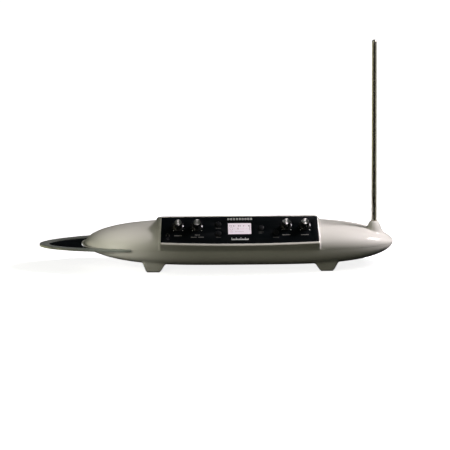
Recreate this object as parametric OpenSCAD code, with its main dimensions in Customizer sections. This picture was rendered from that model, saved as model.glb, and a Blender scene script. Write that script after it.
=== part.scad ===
// Table-top space-controlled instrument: a long streamlined two-part case with
// a raised console, a flat loop aerial at one end and an upright rod aerial at
// the other. Millimetres, +X along the case towards the rod, -Y to the player,
// +Z up, origin on the table under the middle of the overall box.

/* [Case] */
// Length of the case to the right of its widest station
right_len = 307; // [290:1:320]
// Length of the upper case to the left of its widest station
left_len = 313; // [300:1:318]
// Length of the lower case to the left of the same station
left_low = 320; // [315:1:324]
// Half the width of the case at the joint line
half_width = 70; // [66:1:72]
// Height of the joint line above the table
seam_z = 49; // [47:0.5:50]
// Rise of the crest above the joint line
crown_h = 43; // [40:1:45]
// Depth of the keel below the joint line
keel_h = 39.7; // [38:0.1:40]
// Moulded wall
wall = 3; // [2.6:0.1:3.4]

/* [Console] */
// Tilt of the front face from the vertical, degrees
tilt = 47; // [46:0.5:48]
// Half the width of the front face at its lower edge
face_half = 161.3; // [160.5:0.1:162]
// Half the width of the front face at its upper edge
face_top = 158.4; // [157.6:0.1:159.5]
// Height of the front face along its slope
face_h = 70.7; // [70:0.1:71.5]
// Sag of the lower edge at the middle
face_sag = 4.6; // [3.5:0.1:5]
// Height of the console at its back edge
back_z = 79; // [77:0.5:82]

/* [Controls] */
// Radius of a knob's skirt
skirt_r = 11.2; // [10.6:0.1:11.6]
// Outside radius of a knob's body
knob_r = 8.3; // [7.8:0.1:8.6]
// Height of the rotary knobs
knob_h = 17.5; // [15:0.5:19]
// Scallops round a knob
knob_flutes = 9; // [8:1:12]
// Radius of a push button
button_r = 4.7; // [4.4:0.1:4.8]
// Travel of a push button
button_travel = 0.8; // [0.6:0.1:0.8]

/* [Aerials] */
// Top of the upright rod above the table
rod_top = 468.7; // [440:1:480]
// Radius of the rod at its foot
rod_r0 = 5.5; // [5:0.1:5.8]
// Radius of the rod at its tip
rod_r1 = 4.7; // [4.2:0.1:5]
// Radius of the shank that plugs into the socket
shank_r = 4; // [3.8:0.05:4.2]
// Outside half width of the loop where it enters the case
loop_half = 64; // [62:1:66]
// Inside half width of the loop there
loop_in = 52; // [50:1:53]
// Thickness of the loop plate
loop_t = 4; // [3.6:0.1:4.2]

/* [Stand socket] */
// Radius of the threaded stand hole (5/8 inch, 27 threads an inch)
stand_r = 7.5; // [7.4:0.05:7.6]

/* [Hidden] */
$fn = 48;
x0 = 49;                      // widest station
loop_x = -173;                // where the loop's legs end
loop_z = 50.5 - loop_t;       // underside of the loop where it enters the case
loop_droop = 0.8;             // fall of the loop's plane towards its tip, degrees
tip_x = -356;                 // loop tip
rod_x = 318;                  // rod axis
shank_z = 61;                 // foot of the rod's shank
cone_z = 90.7;                // top of the rod's cone
back_y = 80;                  // back face of the console
gap = 0.15;                   // half the joint line gap
face_p = [45.5, -80, 63];       // middle of the front face's lower edge
band_half = 160.75;           // half the width of the undercut below the face
knob_at = [[-123.9, 46], [-85.9, 46], [94, 46], [131.6, 46]];
button_at = [[-42.6, 51.3], [-42.6, 29.6], [43.3, 42], [73.5, 31]];
phones_at = [-145, 18.4];
lcd_c = [0, 40.6];
lcd_size = [46.4, 25.6];
stand_x = 30;
post_at = [[-150, -30], [-150, 30], [60, -53], [100, 53], [262, -34], [262, 34]];
tall_posts = [for (p = post_at) if (p[1] != -53) p];   // the front one stops under the front board
board_post = [[-72, -38], [-72, 33], [102, -38], [102, 33]];
coil_at = [[250, 0], [-165, 0]];
jack_x = [12, 40, 68];
usb_x = -14;
dc_x = -42;
sw_x = -74;
spk_x = 145;
io_z = 50;
foot_z = 17;                  // where the feet run out into the keel
feet_x = [[-143, -113, -149, -104], [207, 236, 197, 244]];

// ---- lines of the case -------------------------------------------------
function sup(t, p, q) = pow(max(0, 1 - pow(min(abs(t), 1), p)), q);
// half breadth, crest rise and keel depth at a station, each drawn in by d
function rt(x, d, l = left_len) = x > x0 ? (x - x0) / (right_len - d) : (x0 - x) / (l - d);
function breadth(x, d = 0, l = left_len) = (half_width - d) * (x > x0 ? sup(rt(x, d), 3.4, 1/2.2) : sup(rt(x, d, l), 2.8, 1/2.6));
function crest(x, d = 0) = (crown_h - d) * (x > x0 ? sup(rt(x, d), 3.67, 1/1.5) : sup(rt(x, d), 4.2, 1/1.78));
function keel(x, d = 0) = (keel_h - d) * (x > x0 ? sup(rt(x, d), 4.2, 1/1.83) : sup(rt(x, d, left_low), 3.9, 1/1.2));
function sgn(v) = v < 0 ? -1 : 1;
function sec(x, b, h, n, m, up, skirt) = concat(skirt ? [[x, b, -up * skirt]] : [], [for (i = [0 : m]) let (a = 180 * i / m)
  [x, b * sgn(cos(a)) * pow(abs(cos(a)), 2/n), up * h * pow(abs(sin(a)), 2/n)]], skirt ? [[x, -b, -up * skirt]] : []);
function stations(d, k, l = left_len) = [for (i = [-k : k]) let (t = sin(90 * min(abs(i) / k, 0.985)) )
  x0 + (i < 0 ? -(l - d) : (right_len - d)) * t];

module loft(s) {
  m = len(s[0]);
  n = len(s);
  polyhedron(points = [for (r = s) for (p = r) p],
    faces = concat(
      [[for (j = [m - 1 : -1 : 0]) j]],
      [[for (j = [0 : m - 1]) (n - 1) * m + j]],
      [for (i = [0 : n - 2]) for (j = [0 : m - 1]) let (a = i * m + j, b = i * m + (j + 1) % m) [a, b + m, a + m]],
      [for (i = [0 : n - 2]) for (j = [0 : m - 1]) let (a = i * m + j, b = i * m + (j + 1) % m) [a, b, b + m]]));
}
// up = 1 upper half, -1 lower half; d draws the surface in
module half_body(up, d = 0, k = 15, m = 16) {
  l = up > 0 ? left_len : left_low;
  st = stations(d, k, l);
  rows = [for (x = st) sec(x, max(breadth(x, d, l), 0.4), max(up > 0 ? crest(x, d) : keel(x, d), 0.4), up > 0 ? 2.3 : 3, m, up, d > 0 ? 2 : 0)];
  translate([0, 0, seam_z + up * gap])
    if (up > 0) loft([for (r = rows) [for (i = [len(r) - 1 : -1 : 0]) r[i]]]);
    else loft(rows);
}

// ---- console -----------------------------------------------------------
module face() { translate(face_p) rotate([90 - tilt, 0, 0]) children(); }
function sag_curve(hw, y0, s, n = 8) = [for (i = [-n : n]) [hw * i / n, y0 + s * pow(i / n, 2)]];
module face_outline(d = 0, r = 4) {
  offset(r = r, $fn = 16) offset(delta = -r - d)
    polygon(concat(sag_curve(face_half, 0, face_sag), [[face_top, face_h], [-face_top, face_h]]));
}
module panel_outline(d = 0, r = 2.5) {
  offset(r = r, $fn = 12) offset(delta = -r - d)
    polygon(concat(sag_curve(159.9, 5.1, 3.85, 8), [[156.5, 68.6], [-156.5, 68.6]]));
}
module console(d = 0) {
  w1 = band_half + face_p[0];
  w0 = face_p[0] - band_half;
  hull() {
    face() translate([0, 0, -1 - 2.3 * d]) linear_extrude(1) face_outline(d);
    translate([0, 0, seam_z + gap - (d > 0 ? 2 : 0)]) linear_extrude(1)
      polygon(concat([for (i = [0 : 8]) let (x = w0 + d + (w1 - w0 - 2 * d) * i / 8) [x, -breadth(x) + d * 1.5]],
        [[w1 + 4 - d, back_y - d], [w0 - 4 + d, back_y - d]]));
    translate([w0 - 4 + d, back_y - 6 - d, seam_z + gap - (d > 0 ? 2 : 0)]) cube([w1 - w0 + 8 - 2 * d, 6, back_z - seam_z - d]);
  }
}
module rear_block(d = 0) {
  w1 = band_half + face_p[0] + 4;
  w0 = face_p[0] - band_half - 4;
  hull() {
    translate([w0 + d, 20, seam_z - gap - 1]) cube([w1 - w0 - 2 * d, back_y - 20 - d, d > 0 ? 3 : 1]);
    translate([w0 + 4 + d, 20, 24 + d]) cube([w1 - w0 - 8 - 2 * d, back_y - 21 - d, 2]);
    translate([w0 + 12 + d, 20, 13 + d]) cube([w1 - w0 - 24 - 2 * d, 36, 2]);
  }
}
module rear_cut(d, y0, y1) {
  translate([48.5, 0, 50.5]) rotate([90, 0, 0]) translate([0, 0, -y1]) linear_extrude(y1 - y0)
    offset(r = 3, $fn = 12) square([297 - 2 * d - 6, 47 - 2 * d - 6], center = true);
}

// ---- loop aerial -------------------------------------------------------
function loop_edge(hw, tip, n = 28) = [for (i = [-n : n]) let (s = abs(i) / n, x = tip + (loop_x - tip) * s * s)
  [x, sgn(i) * hw * sup((loop_x - x) / (loop_x - tip), 1.5, 0.5)]];
module loop_outer(d = 0) { offset(delta = d) polygon(loop_edge(loop_half, tip_x)); }
module loop_inner(d = 0) {
  intersection() {
    offset(delta = d) polygon(concat([[loop_x + 1, loop_in]], [for (p = loop_edge(loop_in, -337.3)) [p[0], -p[1]]], [[loop_x + 1, -loop_in]]));
    translate([-400, -100]) square([400 + loop_x + 1, 200]);
  }
}

// the loop's plane: heights from its underside, pivoting just inside the case
module loop_plane() translate([-190, 0, loop_z]) rotate([0, -loop_droop, 0]) translate([190, 0, 0]) children();
// slot for the ring through both mouldings
module loop_slot() loop_plane() translate([0, 0, -0.2]) linear_extrude(loop_t + 0.4) difference() {
  loop_outer(0.4);
  loop_inner(-0.4);
}
module posts(z0, z1, r, at = post_at) { for (p = at) translate([p[0], p[1], z0]) cylinder(h = z1 - z0, r = r, $fn = 20); }

// ---- case mouldings ----------------------------------------------------
module upper_shell() color([0.86, 0.84, 0.78]) resize([0, 0, 0]) difference() {
  union() {
    difference() {
      union() {
        half_body(1);
        console();
        translate([rod_x, 0, 0]) rotate_extrude($fn = 40) polygon(concat([[0, 62]],
          [for (i = [0 : 10]) let (s = i / 10) [5.9 + 13 * pow(1 - s, 0.62) + 6 * pow(max(0, 0.35 - s), 0.9), 62 + (cone_z - 62) * s]], [[0, cone_z]]));
      }
      difference() {
        union() {
          half_body(1, wall, 12, 12);
          console(wall);
        }
        posts(seam_z, 100, 4.6, tall_posts);
        translate([60, -53, seam_z]) cylinder(h = 14, r = 4.6, $fn = 20);
        translate([58.5, -78, seam_z]) cube([3, 25, 10]);
        translate([rod_x, 0, 64]) cylinder(h = 30, r = 10, $fn = 24);
      }
    }
  }
  face() translate([0, 0, -2.5]) linear_extrude(5) panel_outline(-0.1);
  face() translate([0, 0, -9]) linear_extrude(12) panel_outline(4);
  rear_cut(-0.1, 73.5, 85);
  rear_cut(3, 60, 85);
  loop_slot();
  translate([rod_x, 0, 50]) cylinder(h = 60, r = 5.6, $fn = 40);
  posts(40, 62, 1.65);
}

module foot_body(f, s) hull() for (i = [0, 1]) for (j = [0, 1]) {
  translate([f[i] + (i ? -4 : 4), s * (j ? 47 : 24), 1.5]) cylinder(h = 0.5, r = 4, $fn = 20);
  translate([f[2 + i] + (i ? -5 : 5), s * (j ? 48 : 20), foot_z]) cylinder(h = 1, r = 5, $fn = 20);
}

module lower_shell() color([0.80, 0.78, 0.71]) resize([0, 0, 0]) difference() {
  union() {
    half_body(-1);
    rear_block();
    for (f = feet_x) for (s = [-1, 1]) foot_body(f, s);
  }
  difference() {
    union() {
      half_body(-1, wall, 12, 12);
      rear_block(wall);
    }
    posts(8, seam_z - gap, 5.2);
    posts(8, 24, 4, board_post);
    for (c = coil_at) posts(8, 26, 3.6, [[c[0] - 16, c[1] - 16], [c[0] + 16, c[1] + 16]]);
    translate([stand_x, 0, 8]) cylinder(h = 7, r = 24, $fn = 32);
    for (s = [-1, 1]) translate([-185, s * 44, 8]) cylinder(h = loop_z - 8.4, r = 5, $fn = 20);
  }
  posts(0, 30, 4.2);
  posts(0, 60, 1.8);
  posts(18, 30, 1.35, board_post);
  for (c = coil_at) posts(20, 30, 1.1, [[c[0] - 16, c[1] - 16], [c[0] + 16, c[1] + 16]]);
  translate([stand_x, 0, 0]) cylinder(h = 30, r = 12.2, $fn = 32);
  for (a = [90, 210, 330]) translate([stand_x + 16 * cos(a), 16 * sin(a), 11.2]) cylinder(h = 10, r = 1.15, $fn = 12);
  for (s = [-1, 1]) translate([-185, s * 44, 38]) cylinder(h = 12, r = 1.3, $fn = 12);
  rear_cut(-0.1, 73.5, 85);
  rear_cut(3, 60, 85);
  loop_slot();
}

module foot_pads() color([0.08, 0.08, 0.08])
  for (f = feet_x) for (s = [-1, 1]) linear_extrude(1.5)
    polygon([for (k = [0 : 31]) let (a = 360 * k / 32, cx = (f[0] + f[1]) / 2, hx = (f[1] - f[0]) / 2 - 5)
      [cx + sgn(cos(a)) * hx + 3.5 * cos(a), s * 35.5 + sgn(sin(a)) * 10.5 + 3.5 * sin(a)]]);

module screw(l, r, hr, hh) { cylinder(h = l, r = r); translate([0, 0, -hh]) difference() { cylinder(h = hh, r = hr); translate([0, 0, -0.01]) cylinder(h = hh * 0.6, r = hr * 0.45, $fn = 6); } }
module case_screws() color([0.35, 0.35, 0.36]) for (p = post_at) translate([p[0], p[1], 30]) screw(30, 1.5, 3.4, 2.4);

// ---- control panel -----------------------------------------------------
module control_panel() color([0.03, 0.035, 0.04]) face() difference() {
  translate([0, 0, -2.5]) linear_extrude(2) polygon(concat(
    [for (p = sag_curve(159.9, 5.1, 3.85)) if (abs(p[0]) < 156) p], [[159.6, 12.1], [156.6, 66.7], [154.8, 68.6], [-154.8, 68.6], [-156.6, 66.7], [-159.6, 12.1]]));
  for (p = knob_at) translate([p[0], p[1], -4]) cylinder(h = 6, r = 3.6);
  for (p = button_at) translate([p[0], p[1], -4]) cylinder(h = 6, r = 5.6);
  translate([phones_at[0], phones_at[1], -4]) cylinder(h = 6, r = 3.1);
  translate([lcd_c[0], lcd_c[1], -1.5]) cube([lcd_size[0] + 0.2, lcd_size[1] + 0.2, 6], center = true);
}
module display_window() color([0.93, 0.88, 0.9]) face()
  translate([lcd_c[0] - lcd_size[0] / 2, lcd_c[1] - lcd_size[1] / 2, -2.1]) cube([lcd_size[0], lcd_size[1], 1.5]);
module display_module() color([0.75, 0.76, 0.74]) face() translate([lcd_c[0], lcd_c[1], 0]) {
  translate([-29, -18, -7.5]) cube([58, 36, 5]);
  translate([-22, -11, -2.5]) cube([44, 22, 0.35]);
  translate([-29, 15, -11]) cube([58, 2.4, 3.5]);
}
module front_board() color([0.05, 0.25, 0.12]) face() translate([0, 0, -12.6]) difference() {
  linear_extrude(1.6) polygon([[-152, 10], [-152, 57], [-148, 61], [148, 61], [152, 57], [152, 10]]);
  for (x = [-105, 20, 110]) translate([x, 20, -1]) cylinder(h = 4, r = 1.6);
}

module knob() color([0.05, 0.05, 0.05]) difference() {
  union() {
    translate([0, 0, 0.3]) cylinder(h = 1.5, r = skirt_r);
    translate([0, 0, 1.8]) cylinder(h = 1.4, r1 = skirt_r - 0.3, r2 = knob_r + 0.4);
    difference() {
      translate([0, 0, 3]) cylinder(h = knob_h - 3, r1 = knob_r, r2 = knob_r - 0.5);
      for (i = [0 : knob_flutes - 1]) rotate(360 * (i + 0.5) / knob_flutes + 90) translate([knob_r + 0.7, 0, 3.6]) cylinder(h = knob_h, r = 1.6, $fn = 24);
    }
  }
  translate([0, 0, -1]) cylinder(h = 4.3, r = 6.3);
  cylinder(h = 9.8, r = 3);
  translate([0, 0, knob_h - 0.4]) cylinder(h = 2, r = knob_r - 2.6);
}
module at_knob(i) { face() translate([knob_at[i][0], knob_at[i][1], 0]) children(); }
module shaft() color([0.75, 0.75, 0.76]) { translate([0, 0, -10]) cylinder(h = 19.8, r = 3); }
module pot(w) color([0.45, 0.47, 0.5]) difference() {
  union() {
    translate([-w / 2, -w / 2, -11]) cube([w, w, 8.5]);
    translate([0, 0, -2.6]) cylinder(h = 5.1, r = 3.5);
  }
  translate([0, 0, -10.4]) cylinder(h = 20, r = 3.05);
}
module volume_knob() at_knob(0) knob();
module volume_shaft() at_knob(0) shaft();
module volume_pot() at_knob(0) pot(16);
module pitch_knob() at_knob(1) knob();
module pitch_shaft() at_knob(1) shaft();
module pitch_pot() at_knob(1) pot(16);
module preset_knob() at_knob(2) knob();
module preset_shaft() at_knob(2) shaft();
module preset_encoder() at_knob(2) pot(13);
module effect_knob() at_knob(3) knob();
module effect_shaft() at_knob(3) shaft();
module effect_pot() at_knob(3) pot(16);
module control_nuts() color([0.7, 0.7, 0.7]) for (i = [0 : 3]) at_knob(i) translate([0, 0, -0.5]) difference() {
  cylinder(h = 1.9, r = 5.6, $fn = 6);
  translate([0, 0, -1]) cylinder(h = 5, r = 3.5);
}

module button(i) color([0.06, 0.06, 0.065]) face() translate([button_at[i][0], button_at[i][1], 0]) {
  translate([0, 0, -2.2]) cylinder(h = 3.9, r = button_r - 0.1);
  translate([0, 0, 1.7]) cylinder(h = 0.4, r1 = button_r - 0.1, r2 = button_r - 0.6);
  translate([0, 0, -6.9]) cylinder(h = 4.7, r = 1.8);
}
module button_upper_left() button(0);
module button_lower_left() button(1);
module button_setup() button(2);
module button_scale() button(3);
module button_bezels() color([0.1, 0.1, 0.11]) for (p = button_at) face() translate([p[0], p[1], 0]) difference() {
  union() {
    translate([0, 0, -2.5]) cylinder(h = 3, r = 5.6);
    translate([0, 0, -0.5]) cylinder(h = 0.9, r = 6.1);
  }
  translate([0, 0, -4]) cylinder(h = 8, r = button_r + 0.2);
}
module button_switches() color([0.2, 0.2, 0.22]) for (p = button_at) face() translate([p[0], p[1], -11]) {
  translate([-3, -3, 0]) cube([6, 6, 2.2]);
  translate([0, 0, 2.2]) cylinder(h = 0.9, r = 1.5);
}
module headphone_jack() color([0.55, 0.55, 0.56]) face() translate([phones_at[0], phones_at[1], 0]) difference() {
  union() {
    translate([-3.4, -4.8, -11]) cube([8.4, 11, 8.5]);
    translate([0, 0, -2.6]) cylinder(h = 2.4, r = 3);
  }
  translate([0, 0, -10]) cylinder(h = 12, r = 1.8);
}

// ---- boards ------------------------------------------------------------
module main_board() color([0.05, 0.28, 0.14]) difference() {
  union() {
    translate([-78, -44, 30]) cube([186, 83, 1.6]);
    translate([-20, -20, 31.6]) cube([26, 26, 2]);
    translate([40, -30, 31.6]) cube([18, 18, 1.6]);
    translate([0, -43, 31.6]) cube([42, 5, 8]);
  }
  for (p = board_post) translate([p[0], p[1], 28]) cylinder(h = 6, r = 1.6);
}
module board_spacers() color([0.8, 0.66, 0.3]) for (p = board_post) translate([p[0], p[1], 24]) difference() {
  cylinder(h = 6, r = 3.6, $fn = 6);
  translate([0, 0, -1]) cylinder(h = 8, r = 1.5);
}
module board_screws() color([0.6, 0.6, 0.62]) for (p = board_post) translate([p[0], p[1], 31.6]) mirror([0, 0, 1]) screw(11, 1.3, 2.8, 1.8);
module ribbon_cable() color([0.55, 0.56, 0.58]) translate([2, 0, 0]) rotate([90, 0, 90]) linear_extrude(38)
  polygon([[-41.6, 39.6], [-39.4, 39.6], [-39.4, 52], [-52.2, 64.5], [-52.2, 69.6], [-54.2, 68], [-54.2, 63.5], [-41.6, 51.2]]);

// ---- rear panel and sockets --------------------------------------------
module rear_panel() color([0.07, 0.07, 0.075]) difference() {
  translate([-4, 73.5, 27]) cube([201, 2.5, 47]);
  for (x = jack_x) translate([x, 70, io_z]) rotate([-90, 0, 0]) cylinder(h = 9, r = 4.8);
  translate([spk_x, 70, io_z]) rotate([-90, 0, 0]) cylinder(h = 9, r = 19);
}
module power_panel() color([0.07, 0.07, 0.075]) difference() {
  translate([-100, 73.5, 27]) cube([95.8, 2.5, 47]);
  translate([usb_x - 6.4, 70, io_z - 6.1]) cube([12.8, 9, 12.2]);
  translate([dc_x - 5.7, 70, io_z - 5.7]) cube([11.4, 9, 11.4]);
  translate([sw_x - 9.6, 70, io_z - 6.6]) cube([19.2, 9, 13.2]);
}
module jack(x) color([0.12, 0.12, 0.13]) translate([x, 0, io_z]) difference() {
  union() {
    translate([-8, 48, -8]) cube([16, 25.5, 16]);
    translate([0, 73, 0]) rotate([-90, 0, 0]) cylinder(h = 6.2, r = 4.75);
  }
  translate([0, 50, 0]) rotate([-90, 0, 0]) cylinder(h = 40, r = 3.25);
}
module line_jack_left() jack(jack_x[0]);
module line_jack_right() jack(jack_x[1]);
module pitch_cv_jack() jack(jack_x[2]);
module jack_nuts() color([0.78, 0.78, 0.79]) for (x = jack_x) translate([x, 76, io_z]) rotate([-90, 0, 0]) difference() {
  union() { cylinder(h = 0.6, r = 7.4); translate([0, 0, 0.6]) cylinder(h = 1.9, r = 7, $fn = 6); }
  translate([0, 0, -1]) cylinder(h = 5, r = 4.75);
}
module usb_port() color([0.72, 0.72, 0.73]) translate([usb_x, 0, io_z]) difference() {
  translate([-6, 60, -5.75]) cube([12, 16.6, 11.5]);
  translate([-4.3, 66, -3.95]) cube([8.6, 12, 7.9]);
}
module power_inlet() color([0.09, 0.09, 0.09]) translate([dc_x, 0, io_z]) difference() {
  translate([-5.5, 62, -5.5]) cube([11, 14.5, 11]);
  translate([0, 65.5, 0]) rotate([-90, 0, 0]) cylinder(h = 14, r = 3.15);
}
module switch_body() color([0.07, 0.07, 0.07]) translate([sw_x, 0, io_z]) difference() {
  union() {
    translate([-9.5, 60, -6.5]) cube([19, 16, 13]);
    translate([-10.5, 76, -7.5]) cube([21, 1.3, 15]);
  }
  translate([-8.2, 69.4, -5.2]) cube([16.4, 10, 10.4]);
  translate([0, 73, -6]) cylinder(h = 12, r = 1.06);
}
module power_rocker() color([0.13, 0.13, 0.14]) translate([sw_x, 73, io_z]) {
  translate([0, 0, -4.8]) rotate(8) linear_extrude(9.6)
    polygon([[-7.4, 0.2], [-7.4, 4.2], [0, 2.9], [7.4, 4.2], [7.4, 0.2], [2.6, -2], [-2.6, -2]]);
  translate([0, 0, -5.8]) cylinder(h = 11.6, r = 1);
}

module speaker_frame() color([0.15, 0.15, 0.16]) translate([spk_x, 0, io_z]) rotate([-90, 0, 0]) rotate_extrude($fn = 64)
  polygon([[19, 70.2], [22, 70.2], [22, 72.7], [17.6, 72.7], [17.6, 71.2], [11, 60.2], [8.2, 60.2], [8.2, 58.6], [12, 58.6]]);
module speaker_cone() color([0.09, 0.09, 0.1]) translate([spk_x, 0, io_z]) rotate([-90, 0, 0]) rotate_extrude($fn = 64)
  polygon([[0, 65.8], [5, 64.4], [17, 71.6], [17.5, 71.4], [17.5, 72.2], [16.8, 72.4], [5.4, 65.4], [0, 67]]);
module speaker_magnet() color([0.3, 0.3, 0.31]) translate([spk_x, 0, io_z]) rotate([-90, 0, 0]) difference() {
  translate([0, 0, 48.6]) cylinder(h = 10, r = 14);
  translate([0, 0, 54]) cylinder(h = 6, r = 6);
}
module speaker_grille() color([0.1, 0.1, 0.1]) translate([spk_x, 72.7, io_z]) rotate([-90, 0, 0]) difference() {
  cylinder(h = 0.8, r = 21.5);
  for (k = [0 : 4]) for (i = [0 : max(0, 6 * k - 1)]) rotate(360 * i / max(1, 6 * k)) translate([3.9 * k, 0, -1]) cylinder(h = 3, r = 1.3, $fn = 16);
}

// ---- aerials -----------------------------------------------------------
module volume_loop() color([0.62, 0.62, 0.58]) resize([0, 0, 0]) loop_plane() difference() {
  linear_extrude(loop_t) union() {
    difference() { polygon(loop_edge(loop_half, tip_x)); loop_inner(); }
    for (s = [-1, 1]) translate([-197, s > 0 ? 38 : -53]) square([20, 15]);
  }
  for (s = [-1, 1]) translate([-185, s * 44, -1]) cylinder(h = 6, r = 1.6);
}
module loop_infill() color([0.03, 0.035, 0.04]) loop_plane() linear_extrude(1.9) intersection() {
  loop_inner(-0.05);
  difference() {
    translate([-400, -100]) square([400 - 205, 200]);
    offset(delta = 0.3) polygon(concat([for (i = [0 : 30]) let (x = x0 - left_low * sin(90 * i / 30)) [x, breadth(x, 0, left_low)]],
      [for (i = [30 : -1 : 0]) let (x = x0 - left_low * sin(90 * i / 30)) [x, -breadth(x, 0, left_low)]]));
  }
}
module loop_screws() color([0.6, 0.6, 0.62]) for (s = [-1, 1]) translate([-185, s * 44, loop_z + loop_t + 0.1]) mirror([0, 0, 1]) screw(11, 1.25, 2.8, 1.8);
module wire(p, r = 1.2, m = 8) {
  n = len(p);
  function dir(i) = let (v = p[min(i + 1, n - 1)] - p[max(i - 1, 0)]) v / norm(v);
  function side(t) = let (u = abs(t[2]) < 0.8 ? cross(t, [0, 0, 1]) : cross(t, [1, 0, 0])) u / norm(u);
  loft([for (i = [0 : n - 1]) let (t = dir(i), u = side(t), w = cross(t, u))
    [for (j = [0 : m - 1]) let (a = 360 * j / m) p[i] + r * (cos(a) * u - sin(a) * w)]]);
}
module loop_lead() color([0.75, 0.2, 0.15]) wire([for (s = [0 : 10]) let (q = s / 10) [-180 + 4 * q, -36.7 + 16 * q, 49 - 17.6 * q - 5 * sin(180 * q)]], 0.9);
module rod_lead() color([0.75, 0.2, 0.15]) wire([for (s = [0 : 12]) let (q = s / 12) [309 - 40 * q, 0 + 8 * sin(90 * q), 59.9 - 27.5 * q - 5 * sin(180 * q)]], 0.9);

module antenna_rod() color([0.8, 0.79, 0.74]) translate([rod_x, 0, 0]) {
  translate([0, 0, shank_z]) cylinder(h = cone_z + 0.4 - shank_z, r = shank_r);
  rotate_extrude() polygon(concat([[0, cone_z + 0.2], [rod_r0 - 0.4, cone_z + 0.2], [rod_r0, cone_z + 0.8]],
    [for (a = [0 : 15 : 90]) [(rod_r1) * cos(a), rod_top - rod_r1 * 0.7 + rod_r1 * 0.7 * sin(a)]]));
}
module rod_socket() color([0.7, 0.58, 0.3]) translate([rod_x, 0, 0]) difference() {
  translate([0, 0, 57.2]) cylinder(h = cone_z - 57.2, r = 5.5);
  translate([0, 0, shank_z - 0.3]) cylinder(h = 40, r = shank_r + 0.05);
}
module socket_nut() color([0.75, 0.75, 0.76]) translate([rod_x, 0, 60.4]) difference() {
  cylinder(h = 3.4, r = 9.2, $fn = 6);
  translate([0, 0, -1]) cylinder(h = 6, r = 5.5);
}
module coil_boards() color([0.05, 0.28, 0.14]) for (c = coil_at) translate([c[0], c[1], 26]) difference() {
  translate([-20, -20, 0]) cube([40, 40, 1.6]);
  for (s = [-1, 1]) translate([16 * s, 16 * s, -1]) cylinder(h = 4, r = 1.2);
}
module coil_formers() color([0.85, 0.83, 0.75]) for (c = coil_at) translate([c[0], c[1], 27.6]) difference() {
  union() {
    cylinder(h = 1.6, r = 10);
    cylinder(h = 20, r = 5);
    for (z = [6.2, 12.4, 18.4]) translate([0, 0, z]) cylinder(h = 1.6, r = 10);
  }
  translate([0, 0, -1]) cylinder(h = 30, r = 2.4);
}
module coil_windings() color([0.65, 0.33, 0.14]) for (c = coil_at) for (z = [1.6, 7.8, 14]) translate([c[0], c[1], 27.6 + z]) difference() {
  cylinder(h = z > 10 ? 4.4 : 4.6, r = 8.6);
  translate([0, 0, -1]) cylinder(h = 8, r = 5);
}

// ---- stand socket ------------------------------------------------------
module stand_socket() color([0.72, 0.6, 0.32]) translate([stand_x, 0, 0]) difference() {
  union() {
    translate([0, 0, 9]) cylinder(h = 18, r = 12);
    translate([0, 0, 15]) cylinder(h = 3, r = 20);
  }
  translate([0, 0, 8]) cylinder(h = 15, r = stand_r);
  for (a = [90, 210, 330]) translate([16 * cos(a), 16 * sin(a), 10]) cylinder(h = 10, r = 1.4);
}
module stand_screws() color([0.6, 0.6, 0.62]) for (a = [90, 210, 330]) translate([stand_x + 16 * cos(a), 16 * sin(a), 18]) mirror([0, 0, 1]) screw(6.5, 1.1, 2.4, 1.6);

upper_shell();
lower_shell();
foot_pads();
case_screws();
control_panel();
display_window();
display_module();
front_board();
volume_knob();
volume_shaft();
volume_pot();
pitch_knob();
pitch_shaft();
pitch_pot();
preset_knob();
preset_shaft();
preset_encoder();
effect_knob();
effect_shaft();
effect_pot();
control_nuts();
button_upper_left();
button_lower_left();
button_setup();
button_scale();
button_bezels();
button_switches();
headphone_jack();
main_board();
board_spacers();
board_screws();
ribbon_cable();
rear_panel();
power_panel();
line_jack_left();
line_jack_right();
pitch_cv_jack();
jack_nuts();
usb_port();
power_inlet();
switch_body();
power_rocker();
speaker_frame();
speaker_cone();
speaker_magnet();
speaker_grille();
volume_loop();
loop_infill();
loop_screws();
loop_lead();
antenna_rod();
rod_socket();
socket_nut();
rod_lead();
coil_boards();
coil_formers();
coil_windings();
stand_socket();
stand_screws();
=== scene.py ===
import math
import bpy, bmesh
import numpy as np
from mathutils import Vector, Matrix


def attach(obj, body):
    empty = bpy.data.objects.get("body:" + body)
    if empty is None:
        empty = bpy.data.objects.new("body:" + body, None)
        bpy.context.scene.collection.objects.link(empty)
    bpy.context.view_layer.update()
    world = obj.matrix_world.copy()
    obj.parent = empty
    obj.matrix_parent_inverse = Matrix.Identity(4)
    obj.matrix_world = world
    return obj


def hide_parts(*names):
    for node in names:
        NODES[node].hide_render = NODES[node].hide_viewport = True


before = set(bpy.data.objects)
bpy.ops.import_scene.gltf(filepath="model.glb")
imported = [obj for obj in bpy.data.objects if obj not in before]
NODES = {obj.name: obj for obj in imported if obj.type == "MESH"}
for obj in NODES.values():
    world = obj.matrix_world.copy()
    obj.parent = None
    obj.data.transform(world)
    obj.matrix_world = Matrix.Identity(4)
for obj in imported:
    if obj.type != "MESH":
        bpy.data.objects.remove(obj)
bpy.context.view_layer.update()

scene = bpy.context.scene
MM = 0.001

# ---------------------------------------------------------------- camera
# Seen from the player's side, a little above and very slightly from the left, with a long lens.
AZ, EL, DIST = math.radians(1.8), math.radians(16.0), 40.0
AIM = Vector((0.0177, 0.0, 0.0838))
cam_dir = Vector((-math.sin(AZ) * math.cos(EL), -math.cos(AZ) * math.cos(EL), math.sin(EL)))
cam = bpy.data.cameras.new("camera")
cam.sensor_width = 36.0
cam.lens = 36.0 * DIST / 0.9063
cam.clip_end = 100.0
cam_ob = bpy.data.objects.new("camera", cam)
scene.collection.objects.link(cam_ob)
cam_ob.location = AIM + cam_dir * DIST
cam_ob.rotation_euler = (-cam_dir).to_track_quat("-Z", "Y").to_euler()
scene.camera = cam_ob

# ---------------------------------------------------------------- node helpers
def new_mat(name):
    m = bpy.data.materials.new(name)
    m.use_nodes = True
    nt = m.node_tree
    bsdf = nt.nodes["Principled BSDF"]
    return m, nt, bsdf

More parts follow.
